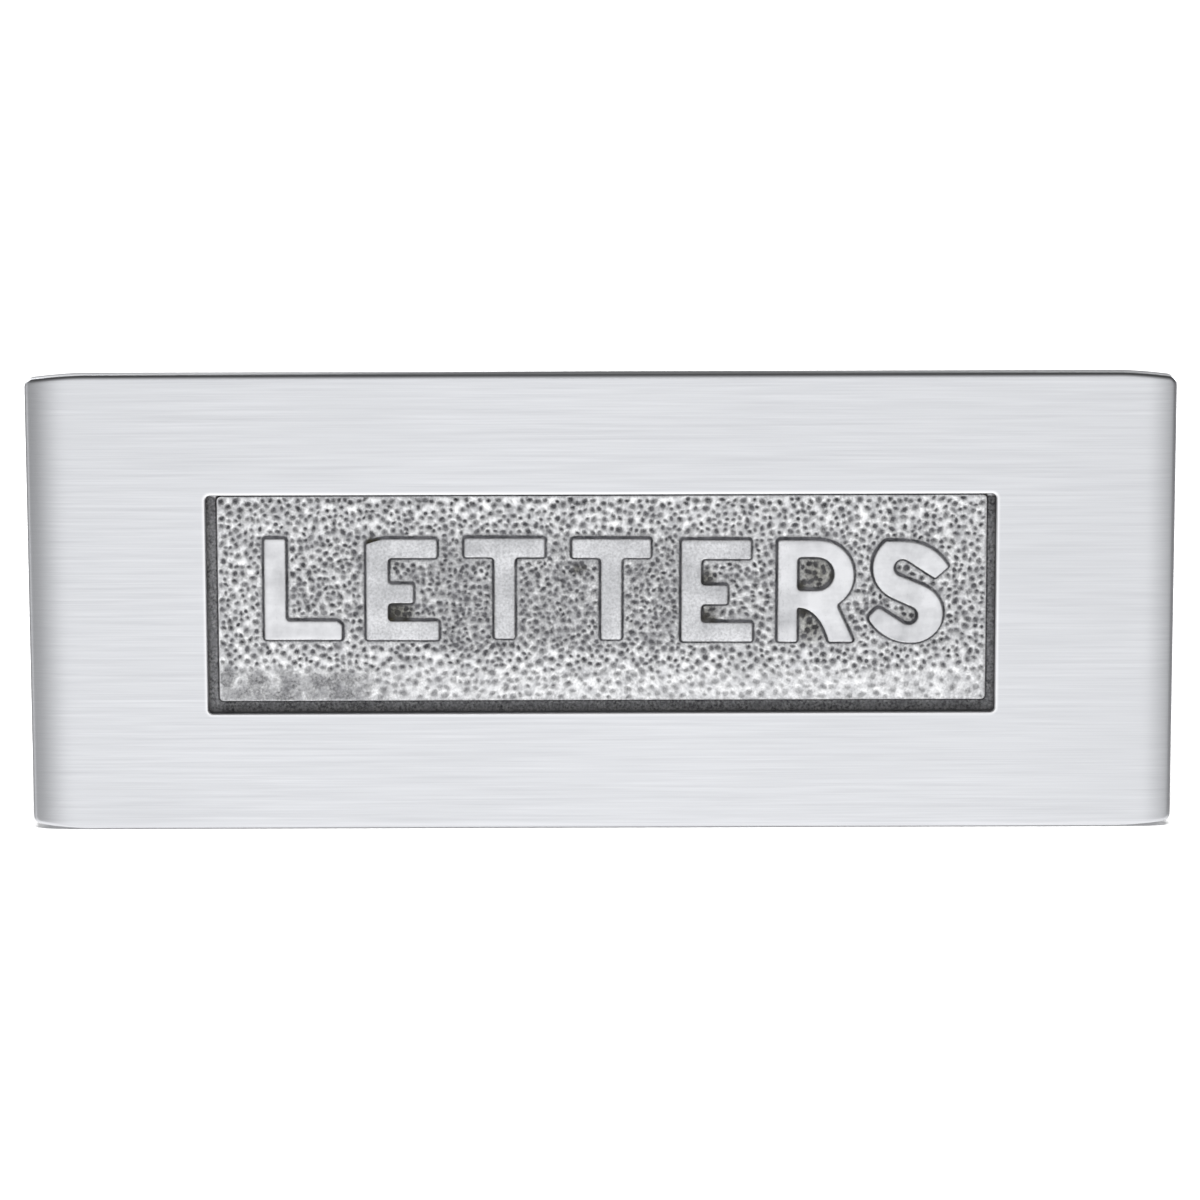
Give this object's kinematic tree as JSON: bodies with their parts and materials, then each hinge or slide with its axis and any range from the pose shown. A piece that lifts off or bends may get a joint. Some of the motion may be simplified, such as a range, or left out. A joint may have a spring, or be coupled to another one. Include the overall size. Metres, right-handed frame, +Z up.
{
  "type": "letter plate",
  "caption": "Wide rectangular door letter plate: a plain satin frame around a stippled, inward-opening sprung flap with raised lettering, on through-door studs.",
  "frame": {"origin": "the middle of the plate, on the plane where its rim meets the outside face of the door", "axes": "+X to the right as seen from the street, +Z up, +Y into the door"},
  "size_m": [0.254, 0.063, 0.1016],
  "materials": {
    "satin_chrome": "satin",
    "aged_casting": "satin",
    "bright_steel": "satin",
    "spring_steel": "satin",
    "zinc_plate": "satin"
  },
  "bodies": {
    "plate_body": {"front_plate": "satin_chrome", "hinge_pin": "bright_steel", "left_spring": "spring_steel", "right_spring": "spring_steel", "left_pin_clip": "spring_steel", "right_pin_clip": "spring_steel", "left_stud": "zinc_plate", "right_stud": "zinc_plate", "left_washer": "zinc_plate", "right_washer": "zinc_plate", "left_nut": "zinc_plate", "right_nut": "zinc_plate"},
    "flap_body": {"flap": "aged_casting"}
  },
  "joints": [
    {"name": "flap_hinge", "type": "hinge", "parent": "plate_body", "child": "flap_body", "pos_m": [0, 0.003, 0.0275], "axis": [1, 0, 0], "range_deg": [0, 85], "stiffness_Nm_per_rad": 0.06, "springref_deg": -60.16, "deforming": ["left_spring", "right_spring"]}
  ]
}
